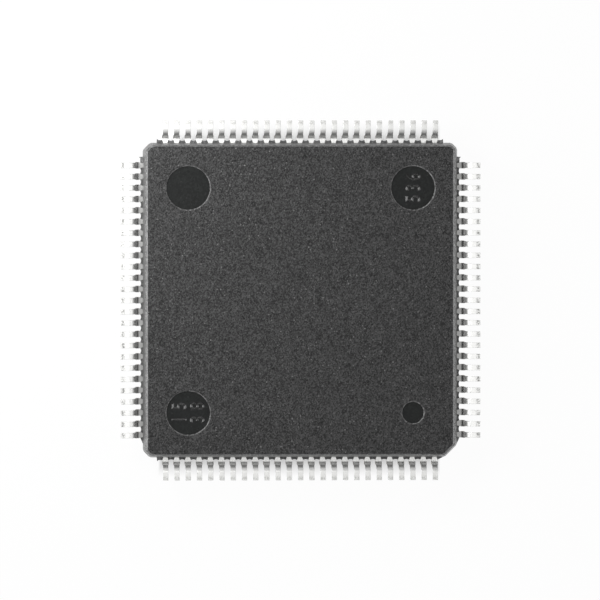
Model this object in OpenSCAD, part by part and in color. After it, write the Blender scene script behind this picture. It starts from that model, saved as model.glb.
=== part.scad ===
// Quad flat pack chip with a hundred gull-wing leads, lying on its marking face with its feet up.
// X and Y run along the sides and Z points out of the underside, towards the solder faces.
// The origin is the middle of the marking face, and pin 1 is the lead next to the +X -Y corner.
// Pins are counted clockwise as seen from +Z: along -Y, then -X, then +Y, then +X.

/* [Moulded body] */
// Length of each side of the body at the parting line
body_side = 14; // [12:0.1:16]
// Distance from each corner of the body to the middle of the nearest lead, along the side
row_margin = 1; // [0.95:0.05:1.5]
// Thickness of the body from the marking face to the underside
body_height = 1.4; // [1.3:0.05:2]
// Slope of the body's sides from the upright, in degrees
draft_angle = 10; // [5:1:16]
// Height of the upright band round the parting line
band_height = 0.15; // [0.14:0.01:0.3]
// Width of the softened edge round both faces, across the body
edge_width_x = 0.12; // [0.04:0.01:0.25]
// Width of the softened edge round both faces, along the body
edge_width_y = 0.07; // [0.04:0.01:0.25]
// Height of the softened edge
edge_height = 0.1; // [0.04:0.01:0.2]
// Chamfer of the corner next to pin 1
corner_1 = 0.55; // [0.24:0.01:0.6]
// Chamfer of the corner next to pin 26
corner_26 = 0.3; // [0.24:0.01:0.6]
// Chamfer of the corner next to pin 51
corner_51 = 0.32; // [0.24:0.01:0.6]
// Chamfer of the corner next to pin 76
corner_76 = 0.25; // [0.24:0.01:0.6]
// How far each chamfer's ends are blended into the sides
corner_blend = 0.06; // [0.02:0.01:0.07]

/* [Marks in the faces] */
// Distance of each ejector mark's middle from the two sides of the body next to it
mark_inset = 2; // [1.6:0.1:4]
// Diameter of the three large ejector marks
mark_dia = 1.93; // [1:0.01:2.2]
// Diameter of the small ejector mark next to pin 1
small_mark_dia = 0.95; // [0.6:0.01:1.4]
// Depth of the ejector marks
mark_depth = 0.08; // [0.05:0.01:0.12]
// Width of the sloping rim round each mark
mark_rim = 0.05; // [0.01:0.01:0.08]
// Diameter of the pin 1 dimple in the marking face
dimple_dia = 1; // [0.5:0.1:1.5]
// Depth of the pin 1 dimple
dimple_depth = 0.1; // [0.05:0.01:0.12]
// Distance of the dimple's middle from the two sides next to pin 1
dimple_inset = 1.35; // [1.1:0.05:2.5]

/* [Resin flash between the leads] */
// Thickness of the flash
flash_thickness = 0.1; // [0.04:0.01:0.12]
// How far the flash reaches out along each lead on the two sides at -X and +X
flash_reach_x = 0.11; // [0.04:0.01:0.13]
// How far it reaches out along each lead on the two sides at -Y and +Y
flash_reach_y = 0.12; // [0.04:0.01:0.13]
// How deep its edge is hollowed midway between two leads
flash_hollow = 0.03; // [0.01:0.01:0.04]
// How far the flash runs past the last lead of a side
flash_run = 0.39; // [0.3:0.01:0.42]
// Length of the burr that ends a side's flash, where there is one
burr_length = 0.17; // [0.05:0.01:0.3]

/* [Leads] */
// Distance from the body to the toes
lead_reach = 1; // [0.85:0.05:2]
// Thickness of the lead frame
lead_thickness = 0.127; // [0.1:0.001:0.14]
// Width of a lead at its foot
foot_width = 0.23; // [0.17:0.01:0.26]
// Width of a lead where it leaves the body
neck_width = 0.18; // [0.15:0.01:0.24]
// Width of a lead over the trimmed ends of its dam bar
stub_width = 0.29; // [0.26:0.01:0.36]
// Distance from the body to the dam bar's ends
stub_start = 0.17; // [0.14:0.01:0.2]
// Length of the dam bar's ends along the lead
stub_length = 0.14; // [0.08:0.01:0.2]
// Flat length of a lead outside the body, before its first bend
shoulder_length = 0.16; // [0.08:0.01:0.2]
// Inside radius of both bends
bend_radius = 0.12; // [0.06:0.01:0.14]
// Slope of the leg between the bends, in degrees
leg_angle = 73; // [65:1:88]
// Height of the solder faces above the underside
standoff = 0.1; // [0.05:0.01:0.15]

/* [Leads inside the body] */
// Gap between the paddle's edge and the inner tips
tip_gap = 0.7; // [0.4:0.05:1]
// Distance that the last inner tip of a row keeps from the corner where two rows would meet
tip_corner_gap = 0.5; // [0.4:0.01:0.6]
// Width of an inner tip
tip_width = 0.19; // [0.12:0.01:0.2]
// Length of lead that runs straight in from the body's side before it fans in
straight_length = 0.5; // [0.3:0.05:1]

/* [Die and its paddle] */
// Length of each side of the die
die_side = 5; // [4.6:0.1:5.6]
// Thickness of the die
die_thickness = 0.28; // [0.2:0.01:0.32]
// Thickness of the glue under the die
attach_thickness = 0.03; // [0.02:0.005:0.05]
// Width of the glue that is squeezed out past the die's edges
attach_margin = 0.15; // [0.05:0.05:0.3]
// Width of the paddle that shows past the die's edges
paddle_margin = 0.9; // [0.5:0.1:1.1]
// How far the paddle is pressed out of the leads' plane, towards the underside
downset = 0.2; // [0.15:0.01:0.3]
// Width of the bars that tie the paddle to the corners
tie_width = 0.2; // [0.12:0.01:0.24]
// Slope of the pressed step in each tie bar, in degrees
tie_slope = 45; // [30:5:60]

/* [Bond wires] */
// Thickness of a bond wire
wire_thickness = 0.025; // [0.02:0.001:0.03]
// Distance of the bond pads from the die's edge
pad_inset = 0.1; // [0.08:0.01:0.2]
// Distance of the last bond pad of a row from the die's corner
pad_corner_gap = 0.46; // [0.3:0.01:0.8]
// Diameter of the ball that starts each wire
ball_dia = 0.08; // [0.05:0.005:0.1]
// Height of the ball
ball_height = 0.03; // [0.02:0.005:0.04]
// Height of a wire's loop over the die
loop_height = 0.17; // [0.12:0.01:0.25]
// Distance from a lead's inner tip to the wire's stitch
stitch_inset = 0.12; // [0.08:0.01:0.25]
// Length of the stitch on the lead
stitch_length = 0.08; // [0.05:0.01:0.12]

/* [Hidden] */

// Leads on each side, and leads in each node
side_count = 25;
group_count = 5;
// Flat strips in each bend of a lead
bend_steps = 6;
// Which ends of the four sides carry a burr, in the order that the pins are counted
burr_ends = [[false, true], [false, true], [true, true], [true, false]];
// Where a burr starts and where it stands out most, as shares of the flash's run past the last lead
burr_start = 0.78;
burr_peak = 0.95;

half_side = body_side / 2;
pitch = (body_side - 2 * row_margin) / (side_count - 1);
toe_distance = half_side + lead_reach;
frame_z = body_height / 2;
band_top = frame_z + band_height / 2;
draft_run = tan(draft_angle) * (body_height - edge_height - band_top);
lead_radius = bend_radius + lead_thickness / 2;
foot_z = body_height + standoff - lead_thickness / 2;
paddle_z = frame_z + downset;
attach_z = paddle_z - lead_thickness / 2 - attach_thickness;
die_z = attach_z - die_thickness;
paddle_side = die_side + 2 * paddle_margin;
tip_distance = paddle_side / 2 + tip_gap;
tip_pitch = 2 * (tip_distance - tip_corner_gap) / (side_count - 1);
pad_pitch = 2 * (die_side / 2 - pad_corner_gap) / (side_count - 1);
knee = half_side - straight_length;
mark_offset = half_side - mark_inset;
flash_overlap = 0.1;
cut = 0.01;

// --- outlines ---

function reversed(list) = [for (i = [len(list) - 1 : -1 : 0]) list[i]];

function heading(a, b) = (b - a) / norm(b - a);

// Offset at one point of a path that keeps a strip round it at an even thickness
function mitre(path, i) =
    let (
        before = heading(path[max(i - 1, 0)], path[max(i, 1)]),
        after = heading(path[min(i, len(path) - 2)], path[min(i + 1, len(path) - 1)]),
        middle = (before + after) / norm(before + after)
    )
    [-middle.y, middle.x] / (middle * before);

// Outline of a strip of even thickness bent along a path
function strip(path, thickness) = concat(
    [for (i = [0 : len(path) - 1]) path[i] + mitre(path, i) * thickness / 2],
    reversed([for (i = [0 : len(path) - 1]) path[i] - mitre(path, i) * thickness / 2])
);

// One flank of the body, from the marking face to the underside
function flank(reach, edge_width) = [
    [reach - draft_run - edge_width, 0],
    [reach - draft_run, edge_height],
    [reach, body_height - band_top],
    [reach, band_top],
    [reach - draft_run, body_height - edge_height],
    [reach - draft_run - edge_width, body_height],
];

function mirrored(points) = reversed([for (p = points) [-p.x, p.y]]);

// --- places ---

// Sides are numbered in the order that their pins are counted, from the side at -Y
module on_side(side) rotate([0, 0, -90 * (side + 1)]) children();

function side_of(pin) = floor(pin / side_count);

// Place along its side of a pin counted from 0, in pitches from the side's middle
function place(pin) = (side_count - 1) / 2 - pin % side_count;

// Where a lead's middle line runs at a distance from the middle of the body
function lead_line(pin, distance) =
    let (fan = min(1, (distance - tip_distance) / (knee - tip_distance)))
    place(pin) * (tip_pitch + (pitch - tip_pitch) * fan);

// --- moulded body ---

// A bar with two drafted flanks, each at its own reach from the middle
module drafted_bar(angle, reach, far_reach, edge_width)
    rotate([0, 0, angle])
        rotate([90, 0, 0])
            linear_extrude(2 * body_side, center = true)
                polygon(concat(flank(reach, edge_width), mirrored(flank(far_reach, edge_width))));

function chamfer_reach(chamfer) = (body_side - chamfer) / sqrt(2);

function blend_reach(chamfer) =
    half_side * cos(22.5) + (half_side - chamfer - corner_blend) * sin(22.5);

// Chamfers two opposite corners and blends the chamfers' ends into the sides
module corner_bars(angle, chamfer, far_chamfer) {
    edge_width = (edge_width_x + edge_width_y) / 2;
    intersection() {
        drafted_bar(angle, chamfer_reach(chamfer), chamfer_reach(far_chamfer), edge_width);
        drafted_bar(angle - 22.5, blend_reach(chamfer), blend_reach(far_chamfer), edge_width);
        drafted_bar(angle + 22.5, blend_reach(chamfer), blend_reach(far_chamfer), edge_width);
    }
}

module body_block()
    intersection() {
        drafted_bar(0, half_side, half_side, edge_width_x);
        drafted_bar(90, half_side, half_side, edge_width_y);
        corner_bars(-45, corner_1, corner_51);
        corner_bars(45, corner_76, corner_26);
    }

function flash_reach(side) = side % 2 == 0 ? flash_reach_y : flash_reach_x;

// Edge of the flash between two leads, hollowed towards the body
function flash_gap(side, pin) =
    let (
        from = place(pin) * pitch - stub_width / 2,
        to = place(pin + 1) * pitch + stub_width / 2,
        reach = half_side + flash_reach(side)
    )
    [for (t = [0 : 0.2 : 1]) [reach - flash_hollow * (1 - pow(2 * t - 1, 2)), from + (to - from) * t]];

// Edge of the flash past the last lead: as far as its burr, or tapering into the side
function flash_end(side, burr) =
    let (
        last = (side_count - 1) / 2 * pitch,
        reach = half_side + flash_reach(side)
    )
    concat(
        [[reach, last + stub_width / 2]],
        burr
            ? [
                [reach, last + flash_run * burr_start],
                [half_side + burr_length, last + flash_run * burr_peak],
            ]
            : [[half_side, last + flash_run]],
        [[half_side - flash_overlap, last + flash_run]]
    );

function other_end(points) = reversed([for (p = points) [p.x, -p.y]]);

module flash_strip(side)
    on_side(side)
        translate([0, 0, frame_z])
            linear_extrude(flash_thickness, center = true)
                polygon(concat(
                    reversed(flash_end(side, burr_ends[side][0])),
                    [for (pin = [0 : side_count - 2]) each flash_gap(side, pin)],
                    reversed(other_end(flash_end(side, burr_ends[side][1])))
                ));

// A round sunk mark with a sloping rim, cut down from a flat face at z = 0
module sunk_mark(dia, depth) {
    translate([0, 0, -depth])
        cylinder(d = dia, h = depth + cut, $fn = 64);
    translate([0, 0, -mark_rim])
        cylinder(d1 = dia, d2 = dia + 2 * (mark_rim + cut), h = mark_rim + cut, $fn = 64);
}

module ejector_marks()
    for (x = [-1, 1], y = [-1, 1])
        translate([x * mark_offset, y * mark_offset, body_height])
            sunk_mark(x > 0 && y < 0 ? small_mark_dia : mark_dia, mark_depth);

module pin_1_dimple()
    translate([half_side - dimple_inset, dimple_inset - half_side, 0])
        rotate([180, 0, 0])
            sunk_mark(dimple_dia, dimple_depth);

module mould_body()
    color("#424345")
        difference() {
            union() {
                body_block();
                for (side = [0 : 3]) flash_strip(side);
            }
            for (pin = [0 : 4 * side_count - 1]) lead_blank(pin);
            for (pin = [0 : 4 * side_count - 1]) wire(pin);
            paddle_and_ties();
            glue();
            chip();
            ejector_marks();
            pin_1_dimple();
        }

// --- leads ---

// The lead's outline as it is punched from flat sheet, from its inner tip to its toe
function lead_plan(pin) =
    let (
        stations = [
            [tip_distance, tip_width],
            [knee, neck_width],
            [half_side, neck_width],
            [half_side + stub_start, stub_width],
            [half_side + stub_start + stub_length, stub_width],
            [half_side + stub_start + stub_length * 3 / 2, foot_width],
            [toe_distance, foot_width],
        ]
    )
    concat(
        [for (s = stations) [s[0], lead_line(pin, s[0]) - s[1] / 2]],
        reversed([for (s = stations) [s[0], lead_line(pin, s[0]) + s[1] / 2]])
    );

// The middle line of the gull wing: flat, up the leg and flat again, seen from the side
function gull_wing() =
    let (
        steps = [0 : bend_steps],
        straight_rise = foot_z - frame_z - 2 * lead_radius * (1 - cos(leg_angle)),
        leg = straight_rise / sin(leg_angle) * [cos(leg_angle), sin(leg_angle)],
        first = [half_side + shoulder_length, frame_z + lead_radius],
        second = first + leg + 2 * lead_radius * [sin(leg_angle), -cos(leg_angle)],
        turn = leg_angle / bend_steps
    )
    concat(
        [[tip_distance - lead_thickness, frame_z]],
        [for (i = steps) first + lead_radius * [sin(i * turn), -cos(i * turn)]],
        [for (i = reversed([for (i = steps) i]))
            second + lead_radius * [-sin(i * turn), cos(i * turn)]],
        [[toe_distance + lead_thickness, foot_z]]
    );

// The flat part of a lead, as it lies in the body and in the flash
module lead_blank(pin)
    on_side(side_of(pin))
        translate([0, 0, frame_z])
            linear_extrude(lead_thickness, center = true)
                polygon(lead_plan(pin));

module lead(pin)
    on_side(side_of(pin))
        intersection() {
            linear_extrude(2 * body_height)
                polygon(lead_plan(pin));
            rotate([90, 0, 0])
                linear_extrude(2 * body_side, center = true)
                    polygon(strip(gull_wing(), lead_thickness));
        }

module lead_group(group)
    color("#d6d7d8")
        for (i = [0 : group_count - 1]) lead(group * group_count + i);

// --- die, glue and paddle ---

module chip()
    translate([-die_side / 2, -die_side / 2, die_z])
        cube([die_side, die_side, die_thickness]);

module glue() {
    glue_side = die_side + 2 * attach_margin;
    translate([-glue_side / 2, -glue_side / 2, attach_z])
        cube([glue_side, glue_side, attach_thickness]);
}

// A bar from the paddle's corner, stepped down to the leads' plane and cut off at the body's corner
module tie_bar(angle, chamfer) {
    step_start = paddle_side / sqrt(2) + lead_thickness;
    step_end = step_start + downset / tan(tie_slope);
    path = [
        [paddle_side / 2, paddle_z],
        [step_start, paddle_z],
        [step_end, frame_z],
        [chamfer_reach(chamfer), frame_z],
    ];
    rotate([0, 0, angle])
        rotate([90, 0, 0])
            linear_extrude(tie_width, center = true)
                polygon(strip(path, lead_thickness));
}

module paddle_and_ties() {
    translate([-paddle_side / 2, -paddle_side / 2, paddle_z - lead_thickness / 2])
        cube([paddle_side, paddle_side, lead_thickness]);
    tie_bar(-45, corner_1);
    tie_bar(-135, corner_26);
    tie_bar(135, corner_51);
    tie_bar(45, corner_76);
}

module die() color("#6b7480") chip();

module die_attach() color("#b9bdc2") glue();

module die_paddle() color("#c08a5c") paddle_and_ties();

// --- bond wires ---

// A wire from its ball on the die, over its loop and down to its stitch on the lead
module wire(pin) {
    pad = [die_side / 2 - pad_inset, place(pin) * pad_pitch];
    stitch = [tip_distance + stitch_inset, lead_line(pin, tip_distance + stitch_inset)];
    run = norm(stitch - pad);
    lead_drop = frame_z - lead_thickness / 2 - die_z - wire_thickness / 2;
    path = [
        [0, ball_height / 2],
        [0, loop_height - wire_thickness],
        [wire_thickness, loop_height],
        [run / 3, loop_height],
        [run, -lead_drop],
        [run + stitch_length, -lead_drop],
    ];
    on_side(side_of(pin))
        translate([pad.x, pad.y, die_z])
            mirror([0, 0, 1])
                rotate([0, 0, atan2(stitch.y - pad.y, stitch.x - pad.x)]) {
                    cylinder(d = ball_dia, h = ball_height, $fn = 8);
                    rotate([90, 0, 0])
                        linear_extrude(wire_thickness, center = true)
                            polygon(strip(path, wire_thickness));
                }
}

module wire_group(group)
    color("#d9a441")
        for (i = [0 : group_count - 1]) wire(group * group_count + i);

mould_body();
die();
die_attach();
die_paddle();
lead_group(0);  // leads_pins_1_to_5
lead_group(1);  // leads_pins_6_to_10
lead_group(2);  // leads_pins_11_to_15
lead_group(3);  // leads_pins_16_to_20
lead_group(4);  // leads_pins_21_to_25
lead_group(5);  // leads_pins_26_to_30
lead_group(6);  // leads_pins_31_to_35
lead_group(7);  // leads_pins_36_to_40
lead_group(8);  // leads_pins_41_to_45
lead_group(9);  // leads_pins_46_to_50
lead_group(10);  // leads_pins_51_to_55
lead_group(11);  // leads_pins_56_to_60
lead_group(12);  // leads_pins_61_to_65
lead_group(13);  // leads_pins_66_to_70
lead_group(14);  // leads_pins_71_to_75
lead_group(15);  // leads_pins_76_to_80
lead_group(16);  // leads_pins_81_to_85
lead_group(17);  // leads_pins_86_to_90
lead_group(18);  // leads_pins_91_to_95
lead_group(19);  // leads_pins_96_to_100
wire_group(0);  // wires_pins_1_to_5
wire_group(1);  // wires_pins_6_to_10
wire_group(2);  // wires_pins_11_to_15
wire_group(3);  // wires_pins_16_to_20
wire_group(4);  // wires_pins_21_to_25
wire_group(5);  // wires_pins_26_to_30
wire_group(6);  // wires_pins_31_to_35
wire_group(7);  // wires_pins_36_to_40
wire_group(8);  // wires_pins_41_to_45
wire_group(9);  // wires_pins_46_to_50
wire_group(10);  // wires_pins_51_to_55
wire_group(11);  // wires_pins_56_to_60
wire_group(12);  // wires_pins_61_to_65
wire_group(13);  // wires_pins_66_to_70
wire_group(14);  // wires_pins_71_to_75
wire_group(15);  // wires_pins_76_to_80
wire_group(16);  // wires_pins_81_to_85
wire_group(17);  // wires_pins_86_to_90
wire_group(18);  // wires_pins_91_to_95
wire_group(19);  // wires_pins_96_to_100
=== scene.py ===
from math import pi, radians, tan

import bmesh
import bpy
from mathutils import Matrix, Vector


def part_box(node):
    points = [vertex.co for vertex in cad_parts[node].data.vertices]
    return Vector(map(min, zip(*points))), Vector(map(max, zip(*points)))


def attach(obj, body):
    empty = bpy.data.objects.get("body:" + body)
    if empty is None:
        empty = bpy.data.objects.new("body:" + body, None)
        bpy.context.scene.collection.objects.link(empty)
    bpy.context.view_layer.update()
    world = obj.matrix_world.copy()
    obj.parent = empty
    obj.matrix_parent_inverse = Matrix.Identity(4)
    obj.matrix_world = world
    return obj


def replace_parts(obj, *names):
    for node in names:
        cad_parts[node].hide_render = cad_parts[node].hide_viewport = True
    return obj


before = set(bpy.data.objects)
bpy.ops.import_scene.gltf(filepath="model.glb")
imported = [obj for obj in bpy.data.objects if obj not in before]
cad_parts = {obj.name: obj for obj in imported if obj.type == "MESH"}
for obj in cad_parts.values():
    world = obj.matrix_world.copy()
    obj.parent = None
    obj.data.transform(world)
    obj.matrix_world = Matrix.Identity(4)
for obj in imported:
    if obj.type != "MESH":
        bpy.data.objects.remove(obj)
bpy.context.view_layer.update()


# --- Paddle and tie bars ---
# The middle of the lead frame: a square plate that carries the die, on four bars that run to the corners.
# Rolled copper alloy, punched with the leads from one sheet and pressed a step out of their plane.
MM = 0.001


def finish_material(name, **sockets):
    """A new material whose shader has these values on its own sockets."""
    material = bpy.data.materials.new(name)
    material.use_nodes = True
    shader = material.node_tree.nodes["Principled BSDF"]
    for socket, value in sockets.items():
        shader.inputs[socket.replace("_", " ")].default_value = value
    return material


def place_node(tree, kind, **settings):
    """A new node in a tree, with its properties and its unlinked inputs set by name."""
    node = tree.nodes.new(kind)
    for name, value in settings.items():
        if hasattr(node, name):
            setattr(node, name, value)
        else:
            node.inputs[name.replace("_", " ")].default_value = value
    return node


def new_group(name, inputs, outputs):
    """An empty node group with named inputs and outputs, each with its socket type."""
    tree = bpy.data.node_groups.new(name, "ShaderNodeTree")
    for socket, kind in inputs.items():
        tree.interface.new_socket(socket, in_out="INPUT", socket_type=kind)
    for socket, kind in outputs.items():
        tree.interface.new_socket(socket, in_out="OUTPUT", socket_type=kind)
    return tree, tree.nodes.new("NodeGroupInput"), tree.nodes.new("NodeGroupOutput")


# Rolling marks: long fine lines that all run one way along the sheet.
rolled, rolled_in, rolled_out = new_group(
    "rolled_sheet",
    {"Dark": "NodeSocketColor", "Light": "NodeSocketColor", "Along": "NodeSocketVector"},
    {"Color": "NodeSocketColor", "Height": "NodeSocketFloat"},
)
where = place_node(rolled, "ShaderNodeTexCoord")
drawn = place_node(rolled, "ShaderNodeMapping")
lines = place_node(rolled, "ShaderNodeTexNoise", Scale=30000.0, Detail=3.0, Roughness=0.6)
tint = place_node(rolled, "ShaderNodeMix", data_type="RGBA")
rolled.links.new(where.outputs["Object"], drawn.inputs["Vector"])
rolled.links.new(rolled_in.outputs["Along"], drawn.inputs["Scale"])
rolled.links.new(drawn.outputs["Vector"], lines.inputs["Vector"])
rolled.links.new(lines.outputs["Fac"], tint.inputs[0])
rolled.links.new(rolled_in.outputs["Dark"], tint.inputs[6])
rolled.links.new(rolled_in.outputs["Light"], tint.inputs[7])
rolled.links.new(tint.outputs[2], rolled_out.inputs["Color"])
rolled.links.new(lines.outputs["Fac"], rolled_out.inputs["Height"])


def use_group(material, group, depth, **inputs):
    """Puts a group with Color and Height outputs on a material's colour and bump, and returns its node."""
    tree = material.node_tree
    shader = tree.nodes["Principled BSDF"]
    node = place_node(tree, "ShaderNodeGroup", node_tree=group)
    for name, value in inputs.items():
        node.inputs[name.replace("_", " ")].default_value = value
    bump = place_node(tree, "ShaderNodeBump", Distance=depth)
    tree.links.new(node.outputs["Color"], shader.inputs["Base Color"])
    tree.links.new(node.outputs["Height"], bump.inputs["Height"])
    tree.links.new(bump.outputs["Normal"], shader.inputs["Normal"])
    return node


copper_alloy = finish_material("copper_alloy", Metallic=1.0, Roughness=0.38)
use_group(
    copper_alloy, rolled, 0.0004 * MM,
    Dark=(0.60, 0.30, 0.17, 1), Light=(0.80, 0.46, 0.28, 1), Along=(1, 0.04, 1),
)


def give_material(name, material):
    """Puts a material on a CAD node that is shown as it is."""
    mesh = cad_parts[name].data
    mesh.materials.clear()
    mesh.materials.append(material)


give_material("die_paddle", copper_alloy)


# --- Die attach ---
# The thin layer of silver-filled glue that fixes the die to its paddle, squeezed out a little past the edges.
# Cured paste: dull grey, with the flakes of silver showing as fine grain.
grainy, grainy_in, grainy_out = new_group(
    "fine_grain",
    {
        "Dark": "NodeSocketColor", "Light": "NodeSocketColor", "Fleck": "NodeSocketColor",
        "Grain": "NodeSocketFloat", "Mottle": "NodeSocketFloat", "Flecks": "NodeSocketFloat",
    },
    {"Color": "NodeSocketColor", "Height": "NodeSocketFloat"},
)


def set_inputs(node, values):
    """Sets a node's inputs by their exact names or numbers, and returns the node."""
    for socket, value in values.items():
        node.inputs[socket].default_value = value
    return node


# Each grain is a cell with its own grey, mostly dark. Mottle shifts them together and a few chips lie on top.
where = place_node(grainy, "ShaderNodeTexCoord")
grains = place_node(grainy, "ShaderNodeTexVoronoi")
skewed = set_inputs(place_node(grainy, "ShaderNodeMath", operation="POWER"), {1: 1.5})
mottle = place_node(grainy, "ShaderNodeTexNoise", Detail=4.0, Roughness=0.6)
spread = set_inputs(
    place_node(grainy, "ShaderNodeMapRange"),
    {"From Min": 0.34, "From Max": 0.66, "To Min": -0.05, "To Max": 0.08},
)
patches = set_inputs(place_node(grainy, "ShaderNodeMath", operation="MULTIPLY_ADD"), {1: 1.0})
tint = place_node(grainy, "ShaderNodeMix", data_type="RGBA")
chips = place_node(grainy, "ShaderNodeTexVoronoi")
chip_edge = set_inputs(
    place_node(grainy, "ShaderNodeMapRange"),
    {"From Min": 0.12, "From Max": 0.3, "To Min": 1.0, "To Max": 0.0},
)
chip_pick = set_inputs(place_node(grainy, "ShaderNodeMath", operation="POWER"), {1: 4.0})
chip_mask = place_node(grainy, "ShaderNodeMath", operation="MULTIPLY")
chipped = place_node(grainy, "ShaderNodeMix", data_type="RGBA")
relief = place_node(grainy, "ShaderNodeTexNoise", Detail=2.5, Roughness=0.65)
for texture, scale in ((grains, "Grain"), (relief, "Grain"), (mottle, "Mottle"), (chips, "Flecks")):
    grainy.links.new(where.outputs["Object"], texture.inputs["Vector"])
    grainy.links.new(grainy_in.outputs[scale], texture.inputs["Scale"])
grainy.links.new(grains.outputs["Color"], skewed.inputs[0])
grainy.links.new(mottle.outputs["Fac"], spread.inputs["Value"])
grainy.links.new(skewed.outputs["Value"], patches.inputs[0])
grainy.links.new(spread.outputs["Result"], patches.inputs[2])
grainy.links.new(patches.outputs["Value"], tint.inputs[0])
grainy.links.new(grainy_in.outputs["Dark"], tint.inputs[6])
grainy.links.new(grainy_in.outputs["Light"], tint.inputs[7])
grainy.links.new(chips.outputs["Distance"], chip_edge.inputs["Value"])
grainy.links.new(chips.outputs["Color"], chip_pick.inputs[0])
grainy.links.new(chip_edge.outputs["Result"], chip_mask.inputs[0])
grainy.links.new(chip_pick.outputs["Value"], chip_mask.inputs[1])
grainy.links.new(chip_mask.outputs["Value"], chipped.inputs[0])
grainy.links.new(tint.outputs[2], chipped.inputs[6])
grainy.links.new(grainy_in.outputs["Fleck"], chipped.inputs[7])
grainy.links.new(chipped.outputs[2], grainy_out.inputs["Color"])
grainy.links.new(relief.outputs["Fac"], grainy_out.inputs["Height"])

die_glue = finish_material("die_glue", Metallic=0.4, Roughness=0.55)
use_group(
    die_glue, grainy, 0.004 * MM,
    Dark=(0.22, 0.22, 0.23, 1), Light=(0.62, 0.62, 0.63, 1), Fleck=(0.8, 0.8, 0.8, 1),
    Grain=25000.0, Mottle=900.0, Flecks=20000.0,
)
give_material("die_attach", die_glue)


# --- Die ---
# A square of silicon sawn from its wafer, with the circuit and its pads on the face away from the paddle.
# Polished and coated: dark, glossy, with the blocks of the circuit in slightly different greys.
silicon = finish_material("silicon", Metallic=0.55, Roughness=0.16)
use_group(
    silicon, grainy, 0.0002 * MM,
    Dark=(0.10, 0.11, 0.14, 1), Light=(0.26, 0.28, 0.33, 1), Fleck=(0.4, 0.43, 0.5, 1),
    Grain=6000.0, Mottle=1400.0, Flecks=4000.0,
)
give_material("die", silicon)


# --- Bond wires ---
# A hundred fine gold wires, each balled onto a pad of the die, looped over its edge and stitched to a lead.
# Drawn gold, soft and bright.
bond_gold = finish_material("bond_gold", Metallic=1.0, Roughness=0.22)
use_group(
    bond_gold, rolled, 0.0001 * MM,
    Dark=(0.83, 0.58, 0.22, 1), Light=(1.0, 0.76, 0.36, 1), Along=(0.2, 0.2, 1),
)
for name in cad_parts:
    if name.startswith("wires_"):
        give_material(name, bond_gold)


# --- Leads ---
# A hundred gull-wing leads of the same copper alloy sheet, plated with matt tin after moulding and then bent
# in a press. The toes, and the stubs where the dam bar was cut away, were trimmed last and show bare metal.
HALF_SIDE = 7 * MM
TOE = 8 * MM
TOE_SLACK = 0.17 * MM
STUB_START = 0.17 * MM
STUB_END = 0.31 * MM
LEAD_EDGE = 0.012 * MM
SHOULDER_TOP = 0.815 * MM
FOOT_TOP = 1.5 * MM
RUB_START = TOE - 0.25 * MM
RUB_FULL = TOE - 0.1 * MM
RUB_FADING = TOE - 0.08 * MM
RUB_AT_TIP = 0.25

# The smudge on each foot rises with the distance from the part's middle and fades at the tip of the toe.
toe_rub, toe_rub_in, toe_rub_out = new_group(
    "toe_rub",
    {"Clean": "NodeSocketColor", "Rubbed": "NodeSocketColor", "Patches": "NodeSocketFloat"},
    {"Color": "NodeSocketColor"},
)
where = place_node(toe_rub, "ShaderNodeTexCoord")
parts = place_node(toe_rub, "ShaderNodeSeparateXYZ")
across = place_node(toe_rub, "ShaderNodeMath", operation="ABSOLUTE")
along = place_node(toe_rub, "ShaderNodeMath", operation="ABSOLUTE")
reach = place_node(toe_rub, "ShaderNodeMath", operation="MAXIMUM")
rise = set_inputs(
    place_node(toe_rub, "ShaderNodeMapRange", interpolation_type="SMOOTHSTEP"),
    {"From Min": RUB_START, "From Max": RUB_FULL, "To Min": 0.0, "To Max": 1.0},
)
fall = set_inputs(
    place_node(toe_rub, "ShaderNodeMapRange", interpolation_type="SMOOTHSTEP"),
    {"From Min": RUB_FADING, "From Max": TOE, "To Min": 1.0, "To Max": RUB_AT_TIP},
)
rubbed = place_node(toe_rub, "ShaderNodeTexNoise", Detail=2.0, Roughness=0.6)
uneven = set_inputs(
    place_node(toe_rub, "ShaderNodeMapRange"),
    {"From Min": 0.42, "From Max": 0.58, "To Min": 0.1, "To Max": 1.0},
)
near_toe = place_node(toe_rub, "ShaderNodeMath", operation="MULTIPLY")
spotted = place_node(toe_rub, "ShaderNodeMath", operation="MULTIPLY")
tint = place_node(toe_rub, "ShaderNodeMix", data_type="RGBA")
toe_rub.links.new(where.outputs["Object"], parts.inputs["Vector"])
toe_rub.links.new(parts.outputs["X"], across.inputs[0])
toe_rub.links.new(parts.outputs["Y"], along.inputs[0])
toe_rub.links.new(across.outputs["Value"], reach.inputs[0])
toe_rub.links.new(along.outputs["Value"], reach.inputs[1])
toe_rub.links.new(reach.outputs["Value"], rise.inputs["Value"])
toe_rub.links.new(reach.outputs["Value"], fall.inputs["Value"])
toe_rub.links.new(where.outputs["Object"], rubbed.inputs["Vector"])
toe_rub.links.new(toe_rub_in.outputs["Patches"], rubbed.inputs["Scale"])
toe_rub.links.new(rubbed.outputs["Fac"], uneven.inputs["Value"])
toe_rub.links.new(rise.outputs["Result"], near_toe.inputs[0])
toe_rub.links.new(fall.outputs["Result"], near_toe.inputs[1])
toe_rub.links.new(near_toe.outputs["Value"], spotted.inputs[0])
toe_rub.links.new(uneven.outputs["Result"], spotted.inputs[1])
toe_rub.links.new(spotted.outputs["Value"], tint.inputs[0])
toe_rub.links.new(toe_rub_in.outputs["Clean"], tint.inputs[6])
toe_rub.links.new(toe_rub_in.outputs["Rubbed"], tint.inputs[7])
toe_rub.links.new(tint.outputs[2], toe_rub_out.inputs["Color"])


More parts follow.
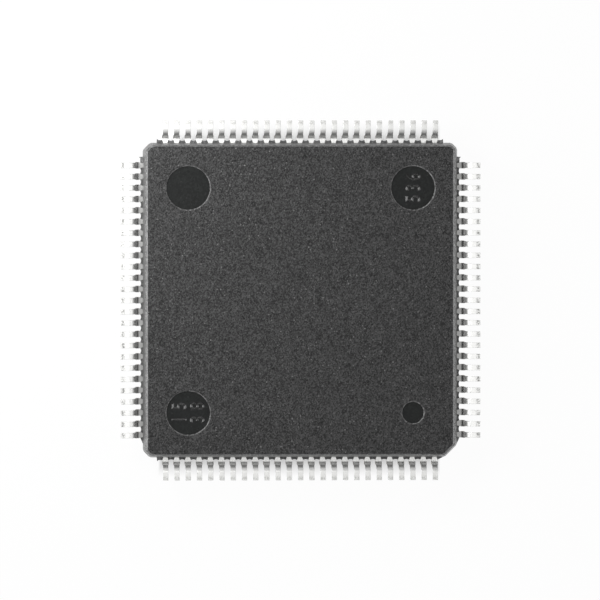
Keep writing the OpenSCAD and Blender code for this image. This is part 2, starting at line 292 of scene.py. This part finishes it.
# The plate's tone along a lead, told by height: its shoulder, the leg that the press creased, and its foot.
# These tones are painted light and shade.
lead_tone, lead_tone_in, lead_tone_out = new_group(
    "lead_tone",
    {
        "Grain": "NodeSocketColor", "Shoulder": "NodeSocketColor",
        "Leg": "NodeSocketColor", "Foot": "NodeSocketColor",
        "Leg Start": "NodeSocketFloat", "Leg Full": "NodeSocketFloat",
        "Foot Start": "NodeSocketFloat", "Foot Full": "NodeSocketFloat",
    },
    {"Color": "NodeSocketColor", "Crease": "NodeSocketFloat"},
)
where = place_node(lead_tone, "ShaderNodeTexCoord")
parts = place_node(lead_tone, "ShaderNodeSeparateXYZ")
leg = place_node(lead_tone, "ShaderNodeMapRange", interpolation_type="SMOOTHSTEP")
foot = place_node(lead_tone, "ShaderNodeMapRange", interpolation_type="SMOOTHSTEP")
lower_tone = place_node(lead_tone, "ShaderNodeMix", data_type="RGBA")
whole_tone = place_node(lead_tone, "ShaderNodeMix", data_type="RGBA")
grained = set_inputs(
    place_node(lead_tone, "ShaderNodeMix", data_type="RGBA", blend_type="MULTIPLY"), {0: 1.0},
)
height = set_inputs(
    place_node(lead_tone, "ShaderNodeMapRange"), {"From Min": SHOULDER_TOP, "From Max": FOOT_TOP},
)
# How strongly the press creased the plate, at shares of the height from the shoulder to the foot.
CREASES = ((0.02, 1.0), (0.15, 1.0), (0.35, 0.2), (0.7, 0.2), (0.85, 1.0), (0.97, 1.0))
crease = place_node(lead_tone, "ShaderNodeValToRGB")
crease.color_ramp.elements[0].color = (0, 0, 0, 1)
crease.color_ramp.elements[1].color = (0, 0, 0, 1)
for place, strength in CREASES:
    crease.color_ramp.elements.new(place).color = (strength, strength, strength, 1)
lead_tone.links.new(where.outputs["Object"], parts.inputs["Vector"])
for ramp, name in ((leg, "Leg"), (foot, "Foot")):
    lead_tone.links.new(parts.outputs["Z"], ramp.inputs["Value"])
    lead_tone.links.new(lead_tone_in.outputs[name + " Start"], ramp.inputs["From Min"])
    lead_tone.links.new(lead_tone_in.outputs[name + " Full"], ramp.inputs["From Max"])
lead_tone.links.new(leg.outputs["Result"], lower_tone.inputs[0])
lead_tone.links.new(lead_tone_in.outputs["Shoulder"], lower_tone.inputs[6])
lead_tone.links.new(lead_tone_in.outputs["Leg"], lower_tone.inputs[7])
lead_tone.links.new(foot.outputs["Result"], whole_tone.inputs[0])
lead_tone.links.new(lower_tone.outputs[2], whole_tone.inputs[6])
lead_tone.links.new(lead_tone_in.outputs["Foot"], whole_tone.inputs[7])
lead_tone.links.new(whole_tone.outputs[2], grained.inputs[6])
lead_tone.links.new(lead_tone_in.outputs["Grain"], grained.inputs[7])
lead_tone.links.new(parts.outputs["Z"], height.inputs["Value"])
lead_tone.links.new(height.outputs["Result"], crease.inputs["Fac"])
lead_tone.links.new(grained.outputs[2], lead_tone_out.inputs["Color"])
lead_tone.links.new(crease.outputs["Color"], lead_tone_out.inputs["Crease"])


def tin_finish(name, roughness, tones, heights, creased_metal, rubbed):
    """Matt tin plate with a tone of painted light and shade for shoulder, leg and foot, duller where creased
    and smudged at the toes.

    The heights, in millimetres, are where the leg's tone starts and is full, and the same for the foot's.
    """
    material = finish_material(name, Roughness=roughness)
    grains = use_group(
        material, grainy, 0.003 * MM,
        Dark=(0.88, 0.88, 0.865, 1), Light=(1, 1, 0.985, 1), Fleck=(0.5, 0.5, 0.49, 1),
        Grain=26000.0, Mottle=2500.0, Flecks=16000.0,
    )
    tree = material.node_tree
    tone = place_node(tree, "ShaderNodeGroup", node_tree=lead_tone)
    for part, grey in zip(("Shoulder", "Leg", "Foot"), tones):
        tone.inputs[part].default_value = (grey, grey, grey, 1)
    for limit, height in zip(("Leg Start", "Leg Full", "Foot Start", "Foot Full"), heights):
        tone.inputs[limit].default_value = height * MM
    rub = place_node(tree, "ShaderNodeGroup", node_tree=toe_rub)
    set_inputs(rub, {"Rubbed": (rubbed, rubbed, 0.97 * rubbed, 1), "Patches": 19000.0})
    mirror = set_inputs(
        place_node(tree, "ShaderNodeMath", operation="MULTIPLY_ADD"), {1: creased_metal - 1, 2: 1.0},
    )
    tree.links.new(grains.outputs["Color"], tone.inputs["Grain"])
    tree.links.new(tone.outputs["Color"], rub.inputs["Clean"])
    tree.links.new(tone.outputs["Crease"], mirror.inputs[0])
    tree.links.new(rub.outputs["Color"], tree.nodes["Principled BSDF"].inputs["Base Color"])
    tree.links.new(mirror.outputs["Value"], tree.nodes["Principled BSDF"].inputs["Metallic"])
    return material


# The same tin in two copies with painted light and shade: the rows along X have grey shoulders, and the rows
# along Y bright shoulders with darker legs and feet.
tin_plate = tin_finish(
    "tin_plate", roughness=0.42, tones=(0.40, 0.84, 0.88), heights=(0.815, 0.82, 1.33, 1.44),
    creased_metal=0.1, rubbed=0.22,
)
tin_y_rows_painted_shade = tin_finish(
    "tin_y_rows_painted_shade", roughness=0.50, tones=(0.88, 0.45, 0.66), heights=(0.91, 1.10, 1.45, 1.50),
    creased_metal=0.15, rubbed=0.42,
)
# The rounded edges of the leads take a darker tin: painted shade for the grey outlines round each foot.
tin_edge_painted_shade = tin_finish(
    "tin_edge_painted_shade", roughness=0.45, tones=(0.45, 0.45, 0.52), heights=(0.815, 0.83, 1.33, 1.44),
    creased_metal=0.6, rubbed=0.3,
)
cut_metal = finish_material("cut_metal", Metallic=1.0, Roughness=0.45)
use_group(
    cut_metal, rolled, 0.0015 * MM,
    Dark=(0.36, 0.27, 0.20, 1), Light=(0.62, 0.48, 0.38, 1), Along=(1, 1, 0.1),
)


WELD = 0.0001 * MM
SAME_PLACE = 0.00001 * MM
FLAT_WITHIN = radians(0.5)
SMOOTH_UP_TO = radians(35)
SHEET_CORNER = radians(30)
# How much of a face's normal has to point one way for the face to look that way, or to be square to it.
FACING = 0.9
SQUARE_TO = 0.99


def welded_copy(name, left_alone=lambda vert: False):
    """A bmesh copy of a CAD node, its loose triangles joined into whole faces but for those left alone."""
    mesh = bmesh.new()
    mesh.from_mesh(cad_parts[name].data)
    bmesh.ops.remove_doubles(mesh, verts=mesh.verts, dist=WELD)
    bmesh.ops.dissolve_limit(
        mesh, angle_limit=FLAT_WITHIN, verts=[vert for vert in mesh.verts if not left_alone(vert)],
        edges=[edge for edge in mesh.edges if not all(left_alone(vert) for vert in edge.verts)],
    )
    return mesh


def soften(mesh, edges, width, segments):
    """Rounds these edges of a bmesh and returns the new faces."""
    return bmesh.ops.bevel(
        mesh, geom=edges, offset=width, offset_type="OFFSET", segments=segments,
        affect="EDGES", profile=0.5, material=-1, clamp_overlap=True,
    )["faces"]


def finished_piece(name, mesh, materials):
    """Makes an object of a bmesh, smooth but for its corners, and fixes it to the part.

    Its normals are levelled while it is a thousand times larger, as its own areas are too small to compare.
    """
    data = bpy.data.meshes.new(name)
    mesh.to_mesh(data)
    mesh.free()
    for material in materials:
        data.materials.append(material)
    data.shade_smooth()
    data.set_sharp_from_angle(angle=SMOOTH_UP_TO)
    piece = bpy.data.objects.new(name, data)
    bpy.context.scene.collection.objects.link(piece)
    level = piece.modifiers.new("even_faces", "WEIGHTED_NORMAL")
    level.keep_sharp = True
    data.transform(Matrix.Scale(1 / MM, 4))
    bpy.context.view_layer.update()
    levelled = bpy.data.meshes.new_from_object(piece.evaluated_get(bpy.context.evaluated_depsgraph_get()))
    levelled.transform(Matrix.Scale(MM, 4))
    piece.modifiers.clear()
    piece.data = levelled
    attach(piece, "root")
    return piece


def outward_of(name):
    """The direction in which a group of leads leaves the body."""
    low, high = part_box(name)
    middle = low + high
    if abs(middle.x) > abs(middle.y):
        return Vector((1 if middle.x > 0 else -1, 0, 0))
    return Vector((0, 1 if middle.y > 0 else -1, 0))


def lead_group(name):
    """Five leads as one piece: split at the body's side, finished face by face, rounded along their edges."""
    mesh = welded_copy(name)
    outward = outward_of(name)
    bmesh.ops.bisect_plane(
        mesh, geom=mesh.verts[:] + mesh.edges[:] + mesh.faces[:], dist=SAME_PLACE,
        plane_co=outward * HALF_SIDE, plane_no=outward,
    )
    for face in mesh.faces:
        reach = face.calc_center_median().dot(outward)
        is_toe = face.normal.dot(outward) > FACING and reach > TOE - TOE_SLACK
        is_stub = STUB_START < reach - HALF_SIDE < STUB_END and abs(face.normal.cross(outward).z) > SQUARE_TO
        face.material_index = 1 if is_toe or is_stub else 2 if reach < HALF_SIDE else 0
    corners = [
        edge for edge in mesh.edges
        if edge.calc_face_angle(0) > SHEET_CORNER
        and all(vert.co.dot(outward) > HALF_SIDE + LEAD_EDGE for vert in edge.verts)
    ]
    for face in soften(mesh, corners, LEAD_EDGE, 2):
        face.material_index = 3
    finishes = [tin_plate if outward.x else tin_y_rows_painted_shade, cut_metal, copper_alloy, tin_edge_painted_shade]
    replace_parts(finished_piece(name.replace("leads", "plated_leads"), mesh, finishes), name)


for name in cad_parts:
    if name.startswith("leads_"):
        lead_group(name)


# --- Moulding ---
# The body: black epoxy filled with silica, moulded round everything above in one shot, ejected by four pins.
# The mould's spark-eroded walls give it a fine matt grain. The pins leave smooth round marks in it, and a
# little flash stays between the leads where the two halves of the mould met.
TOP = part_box("mould_body")[1].z
MARK_DEPTH = 0.08 * MM
BODY_EDGE = 0.045 * MM
RIM_EDGE = 0.03 * MM
PARTING = TOP / 2
BAND = 0.075 * MM
HAIR = 0.001 * MM
INNER_REACH = 0.9 * HALF_SIDE
CHAMFER_REACH = 1.9 * HALF_SIDE
MOULD_CORNER = radians(15)
SLOPING = 0.1

moulding = finish_material("moulding", Roughness=0.45, Specular_IOR_Level=0.2)
use_group(
    moulding, grainy, 0.02 * MM,
    Dark=(0.002, 0.002, 0.002, 1), Light=(0.085, 0.085, 0.0855, 1), Fleck=(0.30, 0.30, 0.30, 1),
    Grain=21000.0, Mottle=2200.0, Flecks=8000.0,
)
# The drafted sides take a lighter resin than the face: painted light for the light that their slope catches.
side_moulding_painted_light = finish_material("side_moulding_painted_light", Roughness=0.32, Specular_IOR_Level=0.8)
use_group(
    side_moulding_painted_light, grainy, 0.02 * MM,
    Dark=(0.02, 0.02, 0.02, 1), Light=(0.2, 0.2, 0.201, 1), Fleck=(0.40, 0.40, 0.40, 1),
    Grain=18000.0, Mottle=2200.0, Flecks=8000.0,
)
flash_resin = finish_material("flash_resin", Roughness=0.4, Specular_IOR_Level=0.5)
use_group(
    flash_resin, grainy, 0.01 * MM,
    Dark=(0.03, 0.03, 0.03, 1), Light=(0.18, 0.18, 0.18, 1), Fleck=(0.30, 0.30, 0.30, 1),
    Grain=16000.0, Mottle=3000.0, Flecks=8000.0,
)
# The marks' rims take a lighter resin: a painted reflection for the light that their sloping sides catch.
rim_painted_sheen = finish_material("rim_painted_sheen", Roughness=0.5, Specular_IOR_Level=0.35)
use_group(
    rim_painted_sheen, grainy, 0.02 * MM,
    Dark=(0.01, 0.01, 0.01, 1), Light=(0.24, 0.24, 0.24, 1), Fleck=(0.40, 0.40, 0.40, 1),
    Grain=14000.0, Mottle=2500.0, Flecks=6000.0,
)
# The marks' floors take a much darker resin than the face: painted shade for the dark reflection of the space
# straight above them.
mark_floor_painted_shade = finish_material("mark_floor_painted_shade", Roughness=0.42, Specular_IOR_Level=0.2)
use_group(
    mark_floor_painted_shade, grainy, 0.0015 * MM,
    Dark=(0.003, 0.0034, 0.0033, 1), Light=(0.012, 0.0135, 0.013, 1), Fleck=(0.04, 0.04, 0.04, 1),
    Grain=14000.0, Mottle=1500.0, Flecks=7000.0,
)


def off_middle(point):
    """How far a point is from the part's middle, along X or Y, whichever is more."""
    return max(abs(point.x), abs(point.y))


def on_outside(vert):
    """Whether a corner of the body's mesh is on its skin, away from the leads' openings."""
    return off_middle(vert.co) > INNER_REACH and abs(vert.co.z - PARTING) > BAND - HAIR


def on_mark_rim(vert):
    """Whether a corner of the body's mesh is where a mark meets the face."""
    return TOP - vert.co.z < HAIR and off_middle(vert.co) < INNER_REACH


def round_tie_bar(vert):
    """Whether a corner of the body's mesh is on the band across a chamfer, round a tie bar's cut end."""
    return abs(vert.co.x) + abs(vert.co.y) > CHAMFER_REACH and abs(vert.co.z - PARTING) < BAND + HAIR


def body_finish(face):
    """A face's place in the body's finishes: 0 grain, 1 a mark's floor, 2 a side, 3 a mark's rim, 4 flash."""
    middle = face.calc_center_median()
    inside = off_middle(middle) < INNER_REACH
    if inside and abs(TOP - middle.z - MARK_DEPTH) < HAIR and face.normal.z > SQUARE_TO:
        return 1
    if inside and 0 < TOP - middle.z < MARK_DEPTH and SLOPING < face.normal.z < SQUARE_TO:
        return 3
    if off_middle(middle) > HALF_SIDE:
        return 4
    return 2 if not inside and abs(face.normal.z) < SQUARE_TO else 0


def outer_corners(mesh, chosen):
    """The body's convex edges whose two ends are chosen."""
    return [
        edge for edge in mesh.edges
        if edge.is_convex and edge.calc_face_angle(0) > MOULD_CORNER
        and all(chosen(vert) for vert in edge.verts)
    ]


mesh = welded_copy("mould_body", left_alone=round_tie_bar)
for face in mesh.faces:
    face.material_index = body_finish(face)
soften(mesh, outer_corners(mesh, on_outside), BODY_EDGE, 3)
soften(mesh, outer_corners(mesh, on_mark_rim), RIM_EDGE, 3)
body_finishes = [moulding, mark_floor_painted_shade, side_moulding_painted_light, rim_painted_sheen, flash_resin]
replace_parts(finished_piece("moulded_body", mesh, body_finishes), "mould_body")


# --- Cavity numbers ---
# Small raised figures in two of the ejector marks, which tell one mould cavity from another.
# They are cut into the ends of the ejector pins, so they stand up from the marks in the same moulding.
MARK_PLACE = 5 * MM
FIGURE_HEIGHT = 0.66 * MM
FIGURE_NARROWING = 0.8
FIGURE_RISE = 0.08 * MM
COLUMN_PITCH = 0.49 * MM
BLOCK_ACROSS = 0.41 * MM
BLOCK_DOWN = 0.3 * MM
STROKE_THINNING = -0.04
STROKE_SLOPE = 0.055
STROKE_WELD = 0.0001

# The figures take the same very dark resin as the marks' floors: painted shade for the dark reflection
# overhead. Their glints come from their sloping strokes.
figure_gloss = finish_material("figure_gloss", Roughness=0.26, Specular_IOR_Level=0.45)
use_group(
    figure_gloss, grainy, 0.0005 * MM,
    Dark=(0.002, 0.002, 0.002, 1), Light=(0.008, 0.008, 0.008, 1), Fleck=(0.03, 0.03, 0.03, 1),
    Grain=12000.0, Mottle=900.0, Flecks=8000.0,
)


def figure_mesh(digit, centre):
    """One figure as a bmesh, lying on its side with its top towards -X."""
    curve = bpy.data.curves.new("figure", "FONT")
    curve.body = digit
    curve.offset = STROKE_THINNING
    curve.bevel_depth = STROKE_SLOPE
    curve.bevel_resolution = 0
    curve.resolution_u = 4
    lettered = bpy.data.objects.new("figure", curve)
    bpy.context.scene.collection.objects.link(lettered)
    bpy.context.view_layer.update()
    flat = bpy.data.meshes.new_from_object(lettered.evaluated_get(bpy.context.evaluated_depsgraph_get()))
    bpy.data.objects.remove(lettered)
    shape = bmesh.new()
    shape.from_mesh(flat)
    bmesh.ops.remove_doubles(shape, verts=shape.verts, dist=STROKE_WELD)
    low = Vector(min(v.co[i] for v in shape.verts) for i in range(3))
    high = Vector(max(v.co[i] for v in shape.verts) for i in range(3))
    size = high - low
    scale = FIGURE_HEIGHT / size.y
    fit = Matrix.Diagonal((FIGURE_NARROWING * scale, scale, FIGURE_RISE / size.z, 1))
    turn = Matrix.Rotation(pi / 2, 4, "Z")
    centred = Matrix.Translation(-(low + high) / 2)
    bmesh.ops.transform(shape, matrix=Matrix.Translation(centre) @ turn @ fit @ centred, verts=shape.verts)
    return shape


def cavity_number(name, figures):
    """One piece made of several figures, each given with the place of its middle."""
    whole = bmesh.new()
    for digit, centre in figures:
        shape = figure_mesh(digit, centre)
        held = bpy.data.meshes.new("held")
        shape.to_mesh(held)
        shape.free()
        whole.from_mesh(held)
    bmesh.ops.recalc_face_normals(whole, faces=whole.faces)
    finished_piece(name, whole, [figure_gloss])


figure_z = TOP - MARK_DEPTH
cavity_number("cavity_number_right", [
    (digit, Vector((MARK_PLACE, MARK_PLACE + row * COLUMN_PITCH, figure_z)))
    for digit, row in (("5", -1), ("3", 0), ("6", 1))
])
cavity_number("cavity_number_left", [
    (digit, Vector((-MARK_PLACE + column * BLOCK_ACROSS, -MARK_PLACE + row * BLOCK_DOWN, figure_z)))
    for digit, column, row in (("1", -1, -1), ("5", -1, 1), ("3", 1, -1), ("8", 1, 1))
])


# --- Table and backdrop ---
# A plain pale table top under the part, with soft light all round it and nothing else in sight.
# It shows white but keeps the shade under the leads, darkened further by painted shade beside the two rows
# along Y, and from below one looks through it.
TABLE_HALF = 1500 * MM
TABLE_GAP = 0.01 * MM
WHITE = 0.96
SHADED = 0.25
SHADE_END = TOE - 0.1 * MM
LAST_LEAD = 6 * MM
SIDE_SHADE_START = LAST_LEAD + 0.08 * MM
SIDE_SHADE_END = LAST_LEAD + 0.3 * MM


def clean_view_mask(tree):
    """A value of 1 for what the camera, a reflection or a refraction sees."""
    rays = place_node(tree, "ShaderNodeLightPath")
    seen = place_node(tree, "ShaderNodeMath", operation="MAXIMUM")
    mirrored = place_node(tree, "ShaderNodeMath", operation="MAXIMUM")
    tree.links.new(rays.outputs["Is Camera Ray"], seen.inputs[0])
    tree.links.new(rays.outputs["Is Glossy Ray"], mirrored.inputs[0])
    tree.links.new(rays.outputs["Is Transmission Ray"], mirrored.inputs[1])
    tree.links.new(mirrored.outputs["Value"], seen.inputs[1])
    return seen.outputs["Value"]


table_paint = finish_material("table_paint", Base_Color=(0.9, 0.9, 0.9, 1), Roughness=0.9)
tree = table_paint.node_tree
glow = place_node(tree, "ShaderNodeEmission", Strength=1.0)
share = place_node(tree, "ShaderNodeMath", operation="MULTIPLY")
where = place_node(tree, "ShaderNodeTexCoord")
parts = place_node(tree, "ShaderNodeSeparateXYZ")
aside = place_node(tree, "ShaderNodeMath", operation="ABSOLUTE")
beside = place_node(tree, "ShaderNodeMath", operation="ABSOLUTE")
# Near the body, beside the rows along Y, the glow is turned down so that the floor shows darker there:
# painted shade on top of the shade that it really gets.
glow_ends = set_inputs(
    place_node(tree, "ShaderNodeMapRange"),
    {"From Min": HALF_SIDE, "From Max": SHADE_END, "To Min": SHADED, "To Max": WHITE},
)
glow_sides = set_inputs(
    place_node(tree, "ShaderNodeMapRange"),
    {"From Min": SIDE_SHADE_START, "From Max": SIDE_SHADE_END, "To Min": 0.0, "To Max": WHITE},
)
glow_share = place_node(tree, "ShaderNodeMath", operation="MAXIMUM")
blend = place_node(tree, "ShaderNodeMixShader")
tree.links.new(where.outputs["Object"], parts.inputs["Vector"])
tree.links.new(parts.outputs["Y"], aside.inputs[0])
tree.links.new(parts.outputs["X"], beside.inputs[0])
tree.links.new(aside.outputs["Value"], glow_ends.inputs["Value"])
tree.links.new(beside.outputs["Value"], glow_sides.inputs["Value"])
tree.links.new(glow_ends.outputs["Result"], glow_share.inputs[0])
tree.links.new(glow_sides.outputs["Result"], glow_share.inputs[1])
tree.links.new(clean_view_mask(tree), share.inputs[0])
tree.links.new(glow_share.outputs["Value"], share.inputs[1])
tree.links.new(share.outputs["Value"], blend.inputs["Fac"])
tree.links.new(tree.nodes["Principled BSDF"].outputs["BSDF"], blend.inputs[1])
tree.links.new(glow.outputs["Emission"], blend.inputs[2])

# Its underside is clear.
side_seen = place_node(tree, "ShaderNodeNewGeometry")
open_below = place_node(tree, "ShaderNodeMixShader")
clear_paint = place_node(tree, "ShaderNodeBsdfTransparent")
tree.links.new(side_seen.outputs["Backfacing"], open_below.inputs["Fac"])
tree.links.new(blend.outputs["Shader"], open_below.inputs[1])
tree.links.new(clear_paint.outputs["BSDF"], open_below.inputs[2])
tree.links.new(open_below.outputs["Shader"], tree.nodes["Material Output"].inputs["Surface"])

mesh = bmesh.new()
bmesh.ops.create_grid(
    mesh, x_segments=1, y_segments=1, size=TABLE_HALF, matrix=Matrix.Translation((0, 0, -TABLE_GAP)),
)
data = bpy.data.meshes.new("table_top")
mesh.to_mesh(data)
mesh.free()
data.materials.append(table_paint)
table_top = bpy.data.objects.new("table_top", data)
bpy.context.scene.collection.objects.link(table_top)


# --- Light ---
# A white room that lights the part evenly, a soft lamp close by at the upper left, and four low soft boxes.
# The low ones stand one at each side, so that the body's edges and drafted sides catch the light.
SKY = 0.1
LAMP_SIDE = 12 * MM
BOX_WIDTH = 180 * MM
BOX_HEIGHT = 70 * MM
BOX_AWAY = 200 * MM
BOX_UP = 60 * MM

world = bpy.data.worlds.new("white_room")
bpy.context.scene.world = world
world.use_nodes = True
tree = world.node_tree
background = tree.nodes["Background"]
background.inputs["Color"].default_value = (1, 1, 1, 1)
glow_level = set_inputs(place_node(tree, "ShaderNodeMapRange"), {"To Min": SKY, "To Max": 1.0})
tree.links.new(clean_view_mask(tree), glow_level.inputs["Value"])
tree.links.new(glow_level.outputs["Result"], background.inputs["Strength"])


def soft_box(name, place, width, height, brightness):
    """A rectangular lamp at a place, facing the part. Its brightness is what a mirror would show."""
    lamp = bpy.data.lights.new(name, "AREA")
    lamp.shape = "RECTANGLE"
    lamp.size = width
    lamp.size_y = height
    lamp.energy = brightness * pi * width * height
    holder = bpy.data.objects.new(name, lamp)
    bpy.context.scene.collection.objects.link(holder)
    holder.visible_camera = False
    holder.matrix_world = Matrix.Translation(place) @ place.to_track_quat("Z", "Y").to_matrix().to_4x4()


soft_box("near_lamp", Vector((-19, 13, 22)) * MM, LAMP_SIDE, LAMP_SIDE, 18.0)
for name, x, y, brightness in (
    ("left_box", -1, 0, 6.5), ("right_box", 1, 0, 4.7), ("far_box", 0, 1, 3.1), ("front_box", 0, -1, 3.3),
):
    soft_box(name, Vector((x * BOX_AWAY, y * BOX_AWAY, BOX_UP)), BOX_WIDTH, BOX_HEIGHT, brightness)


# --- Camera ---
# A long lens almost straight above the part, with the rows of leads square to the frame.
# It stands a little off the middle, towards the corner between pins 50 and 51.
CAMERA_DISTANCE = 335 * MM
VIEW_WIDTH = 26.72 * MM
SENSOR = 36.0
NEAREST_SEEN = 10 * MM
FARTHEST_SEEN = 10000 * MM
TILT_X = radians(2.5)
TILT_Y = radians(1.5)

camera_data = bpy.data.cameras.new("camera")
camera_data.sensor_width = SENSOR
camera_data.lens = SENSOR * CAMERA_DISTANCE / VIEW_WIDTH
camera_data.clip_start = NEAREST_SEEN
camera_data.clip_end = FARTHEST_SEEN
camera = bpy.data.objects.new("camera", camera_data)
bpy.context.scene.collection.objects.link(camera)
target = Vector((0, 0, PARTING))
back = Vector((-tan(TILT_X), tan(TILT_Y), 1)).normalized()
right = Vector((0, 1, 0)).cross(back).normalized()
up = back.cross(right)
facing = Matrix((right, up, back)).transposed().to_4x4()
camera.matrix_world = Matrix.Translation(target + back * CAMERA_DISTANCE) @ facing
bpy.context.scene.camera = camera

bpy.context.scene.view_settings.view_transform = "Standard"
